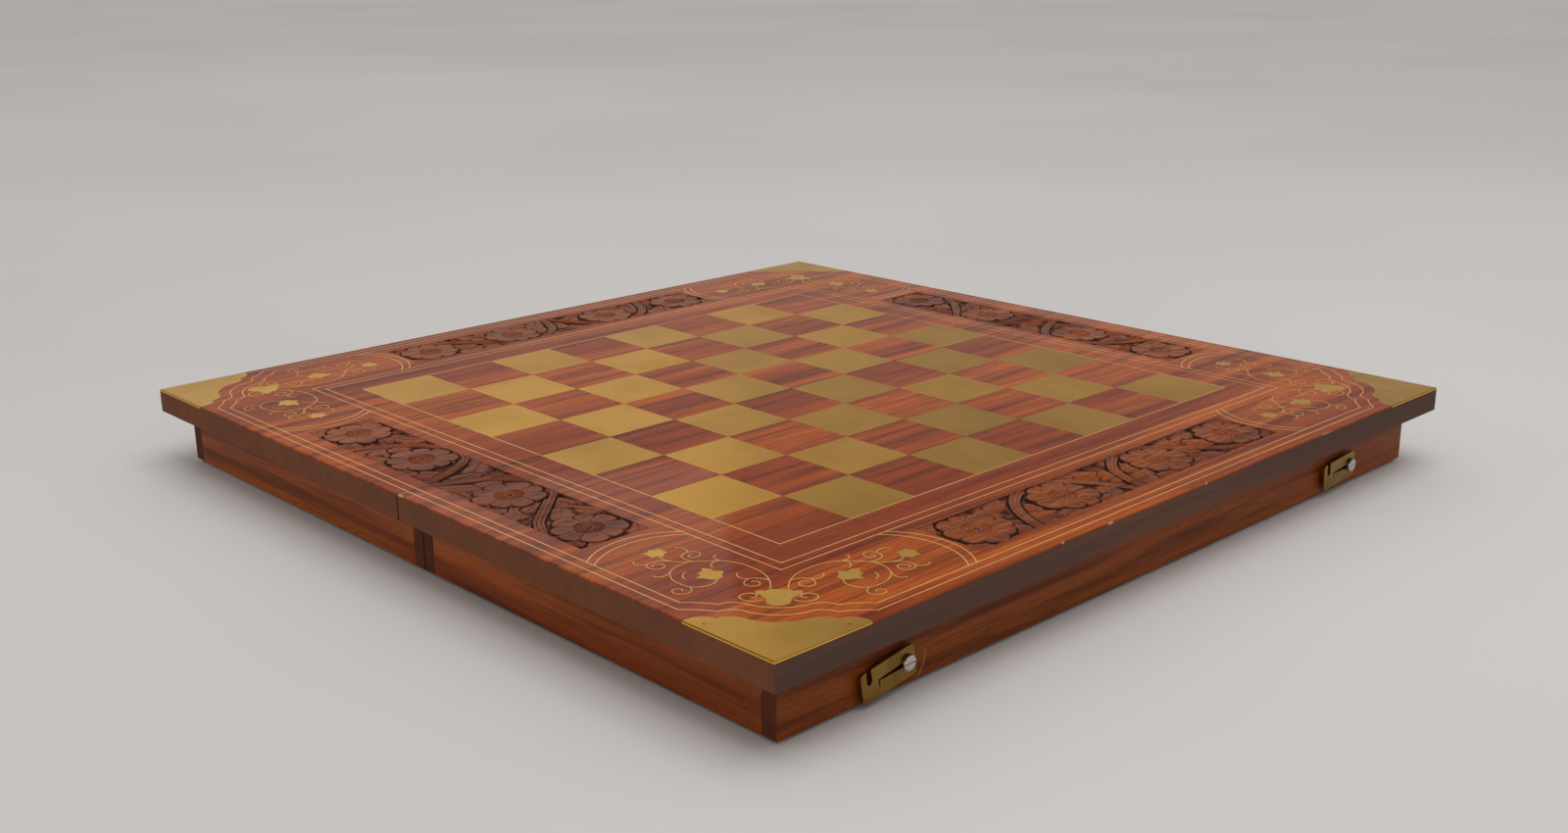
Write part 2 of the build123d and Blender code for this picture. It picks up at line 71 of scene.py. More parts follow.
def plus(tree, a, b):
    return maths(tree, "ADD", a, b)


def minus(tree, a, b):
    return maths(tree, "SUBTRACT", a, b)


def times(tree, a, b):
    return maths(tree, "MULTIPLY", a, b)


def absolute(tree, value):
    return maths(tree, "ABSOLUTE", value)


def centred(tree, value, reach):
    # Turns 0 to 1 into a swing to both sides of zero.
    return times(tree, minus(tree, value, 0.5), reach)


def vectorMaths(tree, operation, a, b=(0, 0, 0)):
    node = addNode(tree, "ShaderNodeVectorMath", operation=operation)
    feed(tree, node.inputs[0], a)
    feed(tree, node.inputs[1], b)
    return node.outputs["Value" if operation in ("LENGTH", "DISTANCE") else "Vector"]


def parts(tree, vector):
    node = addNode(tree, "ShaderNodeSeparateXYZ")
    feed(tree, node.inputs[0], vector)
    return node.outputs


def joined(tree, x, y, z):
    node = addNode(tree, "ShaderNodeCombineXYZ")
    for socket, value in zip(node.inputs, (x, y, z)):
        feed(tree, socket, value)
    return node.outputs[0]


def noise(tree, vector, scale, detail=2.0, roughness=0.5):
    node = addNode(tree, "ShaderNodeTexNoise")
    settings = {"Vector": vector, "Scale": scale, "Detail": detail, "Roughness": roughness}
    for name, setting in settings.items():
        feed(tree, node.inputs[name], setting)
    return node.outputs["Fac"]


def ramp(tree, value, low, high, outLow=0.0, outHigh=1.0):
    node = addNode(tree, "ShaderNodeMapRange", interpolation_type="SMOOTHSTEP")
    settings = {"Value": value, "From Min": low, "From Max": high, "To Min": outLow, "To Max": outHigh}
    for name, setting in settings.items():
        feed(tree, node.inputs[name], setting)
    return node.outputs["Result"]


def mixColor(tree, amount, a, b, blend="MIX"):
    # The colour sockets of this node come after those for numbers and vectors.
    node = addNode(tree, "ShaderNodeMix", data_type="RGBA", blend_type=blend)
    for socket, value in ((node.inputs[0], amount), (node.inputs[6], a), (node.inputs[7], b)):
        feed(tree, socket, value)
    return node.outputs[2]


def tinted(tree, color, tone):
    return mixColor(tree, 1.0, color, joined(tree, tone, tone, tone), "MULTIPLY")


def startGroup(name, inputs, outputs):
    group = bpy.data.node_groups.new(name, "ShaderNodeTree")
    kinds = {"v": "NodeSocketVector", "c": "NodeSocketColor", "f": "NodeSocketFloat"}
    for label, kind, default in inputs:
        socket = group.interface.new_socket(name=label, in_out="INPUT", socket_type=kinds[kind])
        socket.default_value = default
    for label, kind in outputs:
        group.interface.new_socket(name=label, in_out="OUTPUT", socket_type=kinds[kind])
    return group, addNode(group, "NodeGroupInput").outputs, addNode(group, "NodeGroupOutput").inputs


def useGroup(tree, group, settings):
    node = addNode(tree, "ShaderNodeGroup")
    node.node_tree = group
    for name, value in settings.items():
        feed(tree, node.inputs[name], value)
    return node.outputs


# Effects that several materials share.

# Layers of the wood's figure: scales along and across the grain, detail, the noise values
# between which the layer sets in, and how dark it gets.
woodLayers = {
    "patches": {"scales": (1.6, 26.0), "detail": 3.0, "between": (0.40, 0.60)},
    "figure": {"scales": (4.5, 120.0), "detail": 3.0, "between": (0.45, 0.64), "shade": 0.72},
    "streaks": {"scales": (9.0, 330.0), "detail": 2.0, "between": (0.50, 0.70), "shade": 0.55},
    "fibre": {"scales": (24.0, 1100.0), "detail": 2.0, "between": (0.35, 0.70), "shade": 0.30},
    "pores": {"scales": (110.0, 2100.0), "detail": 1.0, "between": (0.62, 0.74), "shade": 0.5},
}

woodRings = {
    "wanderStretch": (2.2, 1, 1),
    "wanderScale": 4.0,
    "wanderReach": 0.09,
    "lineBetween": (0.35, 1.0),
    "patchBetween": (0.3, 0.7),
    "shade": (0.12, 0.5),
}

woodRelief = {"fibre": 0.4, "pores": 0.6}


def woodNoise(tree, vector, name):
    # Noise drawn out along the grain.
    along, across = woodLayers[name]["scales"]
    drawn = vectorMaths(tree, "MULTIPLY", vector, (along, across, across))
    return noise(tree, drawn, 1.0, woodLayers[name]["detail"], 0.6)


def woodShade(tree, value, name):
    return ramp(tree, value, *woodLayers[name]["between"], 0.0, woodLayers[name]["shade"])


def makeWoodGrain():
    # Grain runs along the first axis of Vector. Rings are round a pith well under the board.
    group, given, out = startGroup(
        "woodGrain",
        [
            ("Vector", "v", (0, 0, 0)),
            ("Light", "c", (0.4, 0.12, 0.03, 1)),
            ("Middle", "c", (0.25, 0.07, 0.02, 1)),
            ("Dark", "c", (0.08, 0.02, 0.01, 1)),
            ("Ring Pitch", "f", 0.004),
            ("Ring Amount", "f", 1.0),
            ("Pith Depth", "f", 0.25),
            ("Contrast", "f", 1.0),
        ],
        [("Color", "c"), ("Height", "f"), ("Pores", "f")],
    )
    rings = woodRings
    place = parts(group, given["Vector"])
    wanderPlace = vectorMaths(group, "MULTIPLY", given["Vector"], rings["wanderStretch"])
    drift = centred(group, noise(group, wanderPlace, rings["wanderScale"]), rings["wanderReach"])
    fromPith = plus(group, place["Z"], given["Pith Depth"])
    radius = vectorMaths(group, "LENGTH", joined(group, 0.0, plus(group, place["Y"], drift), fromPith))
    ringPhase = maths(group, "FRACT", maths(group, "DIVIDE", radius, given["Ring Pitch"]))
    layers = {name: woodNoise(group, given["Vector"], name) for name in woodLayers}
    ringShade = ramp(group, layers["patches"], *rings["patchBetween"], *rings["shade"])
    ringDark = times(group, ramp(group, ringPhase, *rings["lineBetween"]), ringShade)
    ringDark = times(group, ringDark, given["Ring Amount"])
    figureDark = woodShade(group, layers["figure"], "figure")
    darkest = maths(group, "MAXIMUM", figureDark, woodShade(group, layers["streaks"], "streaks"))
    darkest = maths(group, "MAXIMUM", darkest, ringDark)
    shade = maths(group, "MULTIPLY", darkest, given["Contrast"], clamp=True)
    patches = ramp(group, layers["patches"], *woodLayers["patches"]["between"])
    base = mixColor(group, patches, given["Middle"], given["Light"])
    toned = mixColor(group, shade, base, given["Dark"])
    fine = mixColor(group, woodShade(group, layers["fibre"], "fibre"), toned, given["Dark"])
    pores = ramp(group, layers["pores"], *woodLayers["pores"]["between"])
    poreShade = times(group, pores, woodLayers["pores"]["shade"])
    group.links.new(mixColor(group, poreShade, fine, given["Dark"]), out["Color"])
    raised = times(group, layers["fibre"], woodRelief["fibre"])
    group.links.new(minus(group, raised, times(group, pores, woodRelief["pores"])), out["Height"])
    group.links.new(pores, out["Pores"])
    return group


edgeBreaks = {
    "raggedScale": 900.0,
    "chipScale": 55.0,
    "narrowest": 0.4,
    "widening": 1.4,
    "fade": (0.5, 1.1),
    "chipFade": 0.12,
}


def makeEdgeWear():
    # Broken wear along the edges of a box with these corners.
    group, given, out = startGroup(
        "edgeWear",
        [
            ("Vector", "v", (0, 0, 0)),
            ("Low", "v", (0, 0, 0)),
            ("High", "v", (1, 1, 1)),
            ("Width", "f", 0.0008),
            ("Break Up", "f", 0.5),
        ],
        [("Mask", "f")],
    )
    fromLow = vectorMaths(group, "SUBTRACT", given["Vector"], given["Low"])
    fromHigh = vectorMaths(group, "SUBTRACT", given["High"], given["Vector"])
    nearest = parts(group, vectorMaths(group, "MINIMUM", fromLow, fromHigh))
    # An edge is near where the second smallest of the three distances is small.
    lesser = maths(group, "MINIMUM", nearest["X"], nearest["Y"])
    greater = maths(group, "MAXIMUM", nearest["X"], nearest["Y"])
    second = maths(group, "MAXIMUM", lesser, maths(group, "MINIMUM", greater, nearest["Z"]))
    ragged = noise(group, given["Vector"], edgeBreaks["raggedScale"])
    chips = noise(group, given["Vector"], edgeBreaks["chipScale"], 3.0, 0.7)
    widening = plus(group, edgeBreaks["narrowest"], times(group, ragged, edgeBreaks["widening"]))
    width = times(group, given["Width"], widening)
    edge = ramp(group, maths(group, "DIVIDE", second, width), *edgeBreaks["fade"], 1.0, 0.0)
    chipped = plus(group, given["Break Up"], edgeBreaks["chipFade"])
    worn = ramp(group, chips, given["Break Up"], chipped)
    group.links.new(times(group, edge, worn), out["Mask"])
    return group


brushing = {
    "stretch": (0.03, 1, 1),
    "patchBetween": (0.38, 0.68),
    "spotScale": 420.0,
    "spotBetween": (0.62, 0.75),
    "spotShare": 0.8,
    "lineContrast": 0.25,
    "cloudRoughness": 0.12,
    "lineRoughness": 0.1,
    "spotRoughness": 0.4,
}


def makeBrushedMetal():
    # Rolled and rubbed sheet: brush lines along the first axis, tarnish in soft patches and spots.
    group, given, out = startGroup(
        "brushedMetal",
        [
            ("Vector", "v", (0, 0, 0)),
            ("Bright", "c", (0.7, 0.5, 0.2, 1)),
            ("Tarnish", "c", (0.35, 0.24, 0.08, 1)),
            ("Tarnish Amount", "f", 0.4),
            ("Patch Scale", "f", 40.0),
            ("Brush Scale", "f", 900.0),
        ],
        [("Color", "c"), ("Roughness", "f"), ("Height", "f")],
    )
    cloud = noise(group, given["Vector"], given["Patch Scale"], 4.0, 0.6)
    spots = noise(group, given["Vector"], brushing["spotScale"], 2.0, 0.6)
    brushPlace = vectorMaths(group, "MULTIPLY", given["Vector"], brushing["stretch"])
    brush = noise(group, brushPlace, given["Brush Scale"], 2.0, 0.6)
    patchShade = times(group, ramp(group, cloud, *brushing["patchBetween"]), given["Tarnish Amount"])
    spotAmount = times(group, given["Tarnish Amount"], brushing["spotShare"])
    spotShade = times(group, ramp(group, spots, *brushing["spotBetween"]), spotAmount)
    shade = maths(group, "MAXIMUM", patchShade, spotShade, clamp=True)
    lined = maths(group, "ADD", shade, centred(group, brush, brushing["lineContrast"]), clamp=True)
    group.links.new(mixColor(group, lined, given["Bright"], given["Tarnish"]), out["Color"])
    cloudRough = times(group, cloud, brushing["cloudRoughness"])
    rough = plus(group, cloudRough, times(group, brush, brushing["lineRoughness"]))
    spotRough = times(group, spotShade, brushing["spotRoughness"])
    group.links.new(plus(group, rough, spotRough), out["Roughness"])
    group.links.new(brush, out["Height"])
    return group


chipOutline = {"raggedScale": 1400.0, "ragged": 1.3, "fade": (1.2, 1.45)}


def makeChip():
    # One ragged chip or bruise.
    group, given, out = startGroup(
        "chip",
        [("Vector", "v", (0, 0, 0)), ("Place", "v", (0, 0, 0)), ("Size", "v", (0.002, 0.002, 0.002))],
        [("Mask", "f")],
    )
    away = vectorMaths(group, "SUBTRACT", given["Vector"], given["Place"])
    distance = vectorMaths(group, "LENGTH", vectorMaths(group, "DIVIDE", away, given["Size"]))
    ragged = noise(group, given["Vector"], chipOutline["raggedScale"])
    reach = plus(group, distance, times(group, ragged, chipOutline["ragged"]))
    group.links.new(ramp(group, reach, *chipOutline["fade"], 1.0, 0.0), out["Mask"])
    return group


# How far the painted shade along the seam reaches, with a ragged edge.
shadeAtSeam = {"raggedScale": 320.0, "ragged": 0.0010, "fade": (0.0009, 0.0016), "onFaces": 0.25}


def makeSeamShade():
    # Painted shade: a dark band along the seam where the two halves meet, in place of the shade in the gap
    # between them. The faces that touch there have less of it.
    group, given, out = startGroup(
        "seamShade",
        [("Vector", "v", (0, 0, 0)), ("Normal", "v", (0, 0, 1)), ("Amount", "f", 0.85)],
        [("Mask", "f")],
    )
    offSeam = absolute(group, parts(group, given["Vector"])["Y"])
    ragged = noise(group, given["Vector"], shadeAtSeam["raggedScale"])
    reach = plus(group, offSeam, times(group, ragged, shadeAtSeam["ragged"]))
    near = ramp(group, reach, *shadeAtSeam["fade"], given["Amount"], 0.0)
    facing = absolute(group, parts(group, given["Normal"])["Y"])
    share = ramp(group, facing, 0.5, 0.9, 1.0, shadeAtSeam["onFaces"])
    group.links.new(times(group, near, share), out["Mask"])
    return group


woodGrain = makeWoodGrain()
edgeWear = makeEdgeWear()
brushedMetal = makeBrushedMetal()
chip = makeChip()
seamShade = makeSeamShade()
print("shared effects ready")


# Materials.

def startMaterial(name):
    material = bpy.data.materials.new(name)
    material.use_nodes = True
    tree = material.node_tree
    place = addNode(tree, "ShaderNodeTexCoord").outputs
    return material, tree, tree.nodes["Principled BSDF"], place


def bumpInto(tree, shader, height, strength, distance):
    bump = addNode(tree, "ShaderNodeBump")
    bump.inputs["Strength"].default_value = strength
    bump.inputs["Distance"].default_value = distance
    tree.links.new(height, bump.inputs["Height"])
    tree.links.new(bump.outputs[0], shader.inputs["Normal"])


def turned(tree, vector, grain):
    # Coordinates with the grain's own axis first.
    if grain == "X":
        return vector
    place = parts(tree, vector)
    return joined(tree, place["Y"], place["X"], place["Z"])


def layGrain(tree, vector, finish, tone=1.0):
    tones = {key: (*(tone * c for c in finish[key][:3]), 1) for key in ("light", "middle", "dark")}
    return useGroup(tree, woodGrain, {
        "Vector": vector, "Light": tones["light"], "Middle": tones["middle"], "Dark": tones["dark"],
        "Ring Pitch": finish["ringPitch"], "Ring Amount": finish["ringAmount"],
        "Pith Depth": finish["pithDepth"], "Contrast": finish["contrast"],
    })


def wearEdges(tree, place, low, high, finish):
    settings = {"Low": low, "High": high, "Width": finish["wearWidth"], "Break Up": finish["wearBreakUp"]}
    return useGroup(tree, edgeWear, {"Vector": place["Object"], **settings})["Mask"]


# Paints the seam's shade into a colour.
def shadeSeam(tree, place, finish, body):
    settings = {"Vector": place["Object"], "Normal": place["Normal"], "Amount": finish["seamShadeAmount"]}
    return mixColor(tree, useGroup(tree, seamShade, settings)["Mask"], body, finish["seamShade"])


# Each half was sawn from another part of the log.
grainOffsets = {"box": (0.31, 0.0, 0.0), "lid": (0.0, 0.0, 0.0)}

# Chips along the lid half's board: place and size at its top face, in millimetres.
lidChips = [
    ((-300.0, -3.0), (1.2, 4.5)), ((-296.0, -0.6), (5.0, 0.7)), ((-226.4, -81.0), (0.9, 1.6)),
    ((-101.0, -302.3), (1.6, 0.7)), ((-61.0, -302.3), (3.4, 0.6)), ((28.0, -302.3), (1.6, 0.7)),
    ((-151.0, -289.0), (0.8, 0.8)), ((-136.0, -229.0), (1.0, 0.7)),
]

boardFinish = {
    "light": (0.50, 0.098, 0.006, 1),
    "middle": (0.295, 0.043, 0.003, 1),
    "dark": (0.050, 0.006, 0.002, 1),
    "ringPitch": 0.0042,
    "ringAmount": 0.7,
    "pithDepth": 0.16,
    "contrast": 0.80,
    "endStain": (0.145, 0.064, 0.036, 1),
    "sideStain": (0.076, 0.056, 0.046, 1),
    "stainStrength": 0.84,
    "bare": (0.42, 0.27, 0.17, 1),
    "wearWidth": 0.0008,
    "wearBreakUp": 0.66,
    "chipDepth": 0.0016,
    # Colour and strength of the painted shade along the seam.
    "seamShade": (0.012, 0.006, 0.004, 1),
    "seamShadeAmount": 0.85,
    "roughness": 0.36,
    "uprightRoughness": 0.25,
    "poreRoughness": 0.2,
    "specular": 0.03,
    "coat": 0.34,
    "coatRoughness": 0.06,
    "uprightCoatLoss": 0.9,
    "bump": (0.25, 0.0003),
}


def boardMaterial(nodeName, offset):
    finish = boardFinish
    low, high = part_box(nodeName)
    low = low - Vector((0, 0, 1))  # only the upper edges are handled enough to wear
    material, tree, shader, place = startMaterial("board_" + nodeName)
    grain = layGrain(tree, vectorMaths(tree, "ADD", place["Object"], offset), finish)
    normal = parts(tree, place["Normal"])
    upright = ramp(tree, absolute(tree, normal["Z"]), 0.3, 0.8, 1.0, 0.0)
    atEnd = ramp(tree, absolute(tree, normal["X"]), 0.5, 0.9)
    stain = mixColor(tree, atEnd, finish["sideStain"], finish["endStain"])
    stained = mixColor(tree, finish["stainStrength"], grain["Color"], stain)
    # The band along the seam is painted shade.
    body = shadeSeam(tree, place, finish, mixColor(tree, upright, grain["Color"], stained))
    worn = wearEdges(tree, place, low, high, finish)
    for (x, y), (sizeX, sizeY) in lidChips if nodeName.startswith("lid") else ():
        mark = useGroup(tree, chip, {
            "Vector": place["Object"],
            "Place": (x / 1000, y / 1000, boardTop),
            "Size": (sizeX / 1000, sizeY / 1000, finish["chipDepth"]),
        })
        worn = maths(tree, "MAXIMUM", worn, mark["Mask"])
    feed(tree, shader.inputs["Base Color"], mixColor(tree, worn, body, finish["bare"]))
    rough = plus(tree, times(tree, upright, finish["uprightRoughness"]), finish["roughness"])
    poreRough = times(tree, grain["Pores"], finish["poreRoughness"])
    feed(tree, shader.inputs["Roughness"], plus(tree, rough, poreRough))
    coatLeft = minus(tree, 1.0, times(tree, upright, finish["uprightCoatLoss"]))
    feed(tree, shader.inputs["Coat Weight"], times(tree, finish["coat"], coatLeft))
    shader.inputs["Coat Roughness"].default_value = finish["coatRoughness"]
    shader.inputs["Specular IOR Level"].default_value = finish["specular"]
    bumpInto(tree, shader, grain["Height"], *finish["bump"])
    return material


wallFinish = {
    "light": (0.33, 0.078, 0.010, 1),
    "middle": (0.19, 0.037, 0.006, 1),
    "dark": (0.056, 0.010, 0.003, 1),
    "ringPitch": 0.0060,
    "ringAmount": 0.35,
    "pithDepth": 0.07,
    "contrast": 0.85,
    "end": (0.085, 0.028, 0.014, 1),
    "endStrength": 0.75,
    # Colour and strength of the painted shade along the seam.
    "seamShade": (0.010, 0.005, 0.004, 1),
    "seamShadeAmount": 0.95,
    "bare": (0.34, 0.20, 0.12, 1),
    "rubStrength": 0.45,
    "wearWidth": 0.0009,
    "wearBreakUp": 0.66,
    "roughness": 0.48,
    "endRoughness": 0.2,
    "specular": 0.08,
    "coat": 0.12,
    "endCoatLoss": 0.3,
    "coatRoughness": 0.25,
    "bump": (0.35, 0.0003),
}

# Direction of the grain, place in the log, and tone of each wall. The tones are painted light: the left
# walls are made lighter and the outer walls darker, in place of how the light falls on these two sides.
wallCuts = {
    "outer_wall": ("X", (0.1, 0.04, 0.02), 0.85),
    "seam_wall": ("X", (0.7, 0.03, 0.01), 1.0),
    "left_wall": ("Y", (0.3, 0.05, 0.0), 1.3),
    "right_wall": ("Y", (1.3, 0.02, 0.03), 1.0),
}

screwsLow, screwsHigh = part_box("latch_screws")
screwRadius = (screwsHigh[2] - screwsLow[2]) / 2
leftScratch = {
    "x": screwsLow[0] + screwRadius,
    "z": screwsLow[2] + screwRadius,
    "radius": 0.0168,
    "width": 0.0012,
}


def rubbedArc(tree, place, scratch):
    # A rubbed arc where a swinging latch has touched the wall: a quarter of a ring, low on its right.
    x, z, radius = scratch["x"], scratch["z"], scratch["radius"]
    flat = vectorMaths(tree, "MULTIPLY", place["Object"], (1, 0, 1))
    offRing = absolute(tree, minus(tree, vectorMaths(tree, "DISTANCE", flat, (x, 0, z)), radius))
    ring = ramp(tree, offRing, 0.0, scratch["width"], 1.0, 0.0)
    spot = parts(tree, place["Object"])
    beside = ramp(tree, spot["X"], x + 0.6 * radius, x + 0.8 * radius)
    below = ramp(tree, spot["Z"], z - 0.1 * radius, z + 0.1 * radius, 1.0, 0.0)
    return times(tree, times(tree, ring, beside), below)


def wallMaterial(nodeName, grain, offset, tone, scratch=None):
    finish = wallFinish
    low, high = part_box(nodeName)
    high = high + Vector((0, 0, 1))  # the upper edges are under the board, and stay fresh
    material, tree, shader, place = startMaterial("wall_" + nodeName)
    shifted = vectorMaths(tree, "ADD", turned(tree, place["Object"], grain), offset)
    # The tone is painted light: it lightens the left walls and darkens the outer walls.
    wood = layGrain(tree, shifted, finish, tone)
    endGrain = ramp(tree, absolute(tree, parts(tree, place["Normal"])[grain]), 0.5, 0.9)
    body = mixColor(tree, times(tree, endGrain, finish["endStrength"]), wood["Color"], finish["end"])
    if scratch:
        rubbed = times(tree, rubbedArc(tree, place, scratch), finish["rubStrength"])
        body = mixColor(tree, rubbed, body, finish["bare"])
    # The band along the seam is painted shade.
    if nodeName.endswith("seam_wall"):
        body = shadeSeam(tree, place, finish, body)
    worn = wearEdges(tree, place, low, high, finish)
    feed(tree, shader.inputs["Base Color"], mixColor(tree, worn, body, finish["bare"]))
    rough = plus(tree, times(tree, endGrain, finish["endRoughness"]), finish["roughness"])
    feed(tree, shader.inputs["Roughness"], rough)
    coatLoss = times(tree, endGrain, finish["endCoatLoss"])
    coat = maths(tree, "SUBTRACT", finish["coat"], coatLoss, clamp=True)
    feed(tree, shader.inputs["Coat Weight"], coat)
    shader.inputs["Coat Roughness"].default_value = finish["coatRoughness"]
    shader.inputs["Specular IOR Level"].default_value = finish["specular"]
    bumpInto(tree, shader, wood["Height"], *finish["bump"])
    return material


squaresLow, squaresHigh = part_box("lid_brass_squares")
squaresAcross = 8
squareGap = 0.0004  # by which the squares fall short of their grid, both ends together
squareSize = (squaresHigh[0] - squaresLow[0] + squareGap) / squaresAcross

metalKinds = {
    "squareBrass": {
        "bright": (0.88, 0.46, 0.040, 1), "tarnish": (0.61, 0.29, 0.022, 1), "amount": 0.45,
        "patch": 16.0, "rough": 0.24, "metal": 1.0, "bump": (0.12, 0.0001), "toneStep": 0.10,
    },
    "leafBrass": {
        "bright": (0.92, 0.53, 0.080, 1), "tarnish": (0.66, 0.35, 0.045, 1), "amount": 0.35,
        "patch": 60.0, "rough": 0.26, "metal": 0.9, "bump": (0.12, 0.0001),
    },
    # Thin strips under the lacquer, dulled all round, so less like bright metal.
    "stringBrass": {
        "bright": (0.86, 0.50, 0.17, 1), "tarnish": (0.62, 0.33, 0.09, 1), "amount": 0.45,
        "patch": 90.0, "rough": 0.32, "metal": 0.5, "bump": (0.12, 0.0001),
    },
    "plateBrass": {
        "bright": (0.90, 0.50, 0.075, 1), "tarnish": (0.64, 0.34, 0.040, 1), "amount": 0.5,
        "patch": 22.0, "rough": 0.23, "metal": 1.0, "bump": (0.12, 0.0001),
    },
    "latchBrass": {
        "bright": (0.30, 0.17, 0.035, 1), "tarnish": (0.15, 0.085, 0.020, 1), "amount": 0.6,
        "patch": 70.0, "rough": 0.22, "metal": 1.0, "bump": (0.12, 0.0001),
    },
    "screwSteel": {
        "bright": (0.62, 0.60, 0.56, 1), "tarnish": (0.30, 0.27, 0.22, 1), "amount": 0.4,
        "patch": 150.0, "rough": 0.12, "metal": 1.0, "bump": (0.10, 0.0001),
    },
}


def metalMaterial(kind):
    finish = metalKinds[kind]
    material, tree, shader, place = startMaterial(kind)
    sheet = useGroup(tree, brushedMetal, {
        "Vector": place["Object"], "Bright": finish["bright"], "Tarnish": finish["tarnish"],
        "Tarnish Amount": finish["amount"], "Patch Scale": finish["patch"],
    })
    color = sheet["Color"]
    if "toneStep" in finish:
        # Each square was cut from its own piece of sheet, so each has a slightly different tone.
        step = finish["toneStep"]
        onGrid = vectorMaths(tree, "DIVIDE", place["Object"], (squareSize, squareSize, 1))
        cell = vectorMaths(tree, "FLOOR", vectorMaths(tree, "ADD", onGrid, (0, 0, 0.5)))
        chance = addNode(tree, "ShaderNodeTexWhiteNoise")
        feed(tree, chance.inputs["Vector"], cell)
        tone = ramp(tree, chance.outputs["Value"], 0.0, 1.0, 1.0 - step, 1.0 + step)
        color = tinted(tree, color, tone)
    feed(tree, shader.inputs["Base Color"], color)
    shader.inputs["Metallic"].default_value = finish["metal"]
    feed(tree, shader.inputs["Roughness"], plus(tree, sheet["Roughness"], finish["rough"]))
    bumpInto(tree, shader, sheet["Height"], *finish["bump"])
    return material


def dress(nodeName, material):
    node = nodes[nodeName]
    if not node.material_slots:
        node.data.materials.append(material)
    for materialSlot in node.material_slots:
        materialSlot.material = material


# Which metal each piece is of. A star stands for each half in turn.
metalPieces = {
    "squareBrass": ["*_brass_squares"],
    "leafBrass": ["*_vine_leaves"],
    "stringBrass": ["*_brass_strings", "*_vine_wires"],
    "plateBrass": ["*_corner_plates"],
    "latchBrass": [
        "*_corner_pins", "*_hinge_screws", "left_hinge_*_leaf", "right_hinge_*_leaf",
        "left_latch_plate", "right_latch_plate", "latch_washers", "latch_pegs",
    ],
    "screwSteel": ["left_hinge_pin", "right_hinge_pin", "latch_screws"],
}

for kind, pieces in metalPieces.items():
    metal = metalMaterial(kind)
    for piece in pieces:
        for half in ("box", "lid") if "*" in piece else ("",):
            dress(piece.replace("*", half), metal)

for half, offset in grainOffsets.items():
    board = f"{half}_top_board"
    dress(board, boardMaterial(board, offset))
    for name, cut in wallCuts.items():
        wall = f"{half}_{name}"
        scratch = leftScratch if wall == "lid_outer_wall" else None
        dress(wall, wallMaterial(wall, *cut, scratch))
print("finishes on the carried-over pieces")


# Carved panels.

# One carving, along its own length first, in millimetres: four flowers, two waving stems that
# pass over and under them, and leaves. The second axis points to the board's middle. The forms
# keep the board's own surface, and the ground is cut away between them.
carving = {
    "flowers": (-116.3, -44.5, 44.5, 116.3),
    "flowerTurn": (0.2, 0.35),  # of the first flower, and from one to the next
    "stems": [
        [
            (-92.6, -25.0), (-82.2, -1.5), (-67.3, 15.0), (-48.3, 22.0),
            (-27.1, 17.4), (-14.4, 0.6), (-3.0, -25.0),
        ],
        [
            (-1.5, -25.0), (6.8, -1.5), (17.3, 12.3), (34.3, 22.0), (53.3, 21.5),
            (67.1, 10.2), (80.8, -3.6), (93.5, -15.2), (110.5, -21.5), (131.6, -17.2),
        ],
    ],
    # Middle, direction in degrees and length of each leaf.
    "leaves": [
        (-92, 13, 38, 28), (-99, -16, -50, 22), (-77, -12, 70, 24), (-68, -15, -35, 22),
        (-83, 16, 30, 20), (-72, 2, -75, 18), (-20, -13, 35, 30), (-7, 13, -48, 28),
        (-22, 16, 35, 17), (15, -13, 50, 30), (1, 1, 80, 20), (20, 4, 75, 18),
        (22, 18, 30, 20), (68, -13, -30, 30), (70, -3, -60, 18), (78, 15, 15, 26),
        (91, 15, 30, 24), (90, 2, -35, 22), (96, -17, -40, 20), (-136, 17, 35, 20),
        (-136, -17, -35, 20), (136, 17, -35, 20), (139, -8, 70, 18), (-59, -18, 15, 22),
        (-30, -19, 0, 18), (29, -19, 0, 18), (57, -19, 10, 20),
    ],
    "groundDepth": 2.1,
    "wallSlope": 0.8,
    "margin": 0.6,
    "step": 0.4,  # between two points of the mesh
}

# Small leaves that lie low between the large ones.
lowLeaves = {
    "columns": 26,
    "rows": 4,
    "pitch": (11.0, 12.0),
    "shift": 3.0,
    "length": (11.0, 16.0),
    "drop": 0.8,
    "seed": 5,
}

leafForm = {
    "width": 0.74,  # as a share of its length
    "taper": (0.85, 0.6),
    "lobes": 3,
    "lobeStart": 0.1,
    "waist": 0.80,
    "lobeBulge": 0.34,
    "below": 0.12,
    "veinDepth": 0.7,
    "veinWidth": 0.40,
    "veinEnd": 0.9,
    "veinFade": 0.3,
    "sideVeinDepth": 0.22,
    "sideVeinPitch": 5.0,
    "sideVeinSlant": 1.2,
    "sideVeinSharpness": 6,
    "rounding": 0.018,
    "cut": 0.5,
}

stemForm = {
    "width": 7.2,
    "below": 0.1,
    "grooveAt": 1.25,  # from the middle, so that two grooves leave three strands
    "grooveDepth": 0.8,
    "grooveWidth": 0.35,
    "rounding": 0.02,
    "cut": 0.6,
}

